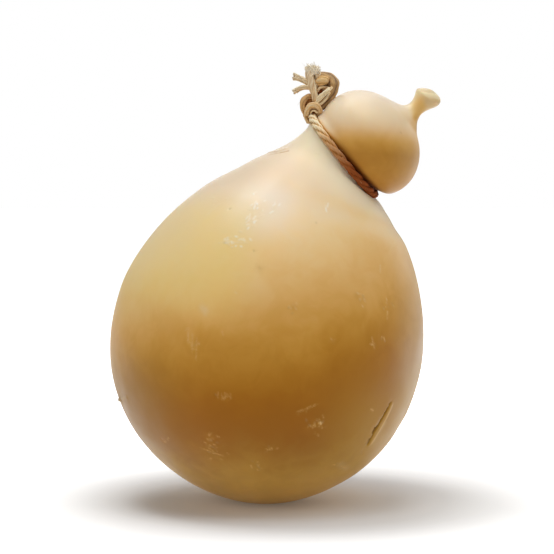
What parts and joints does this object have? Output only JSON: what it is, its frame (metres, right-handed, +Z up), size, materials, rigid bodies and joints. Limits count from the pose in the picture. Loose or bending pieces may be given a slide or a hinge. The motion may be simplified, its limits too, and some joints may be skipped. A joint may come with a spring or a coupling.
{
  "type": "caciocavallo cheese",
  "caption": "Pear-shaped stretched-curd cheese that stands tilted on its round bottom, with a pinched neck tied with twine and a small onion-shaped head with a nipple.",
  "frame": {"origin": "centre of the small flat spot under the pear, on the surface that it rests on", "axes": "+Z up, +X towards the side that the neck and head lean to, -Y towards the shown front"},
  "size_m": [0.1576, 0.1496, 0.209],
  "materials": {
    "rind": "waxy satin rind, straw to amber",
    "twine": "dry twisted plant fibre"
  },
  "bodies": {
    "root": {"cheese": "rind", "twine": "twine"}
  },
  "joints": []
}
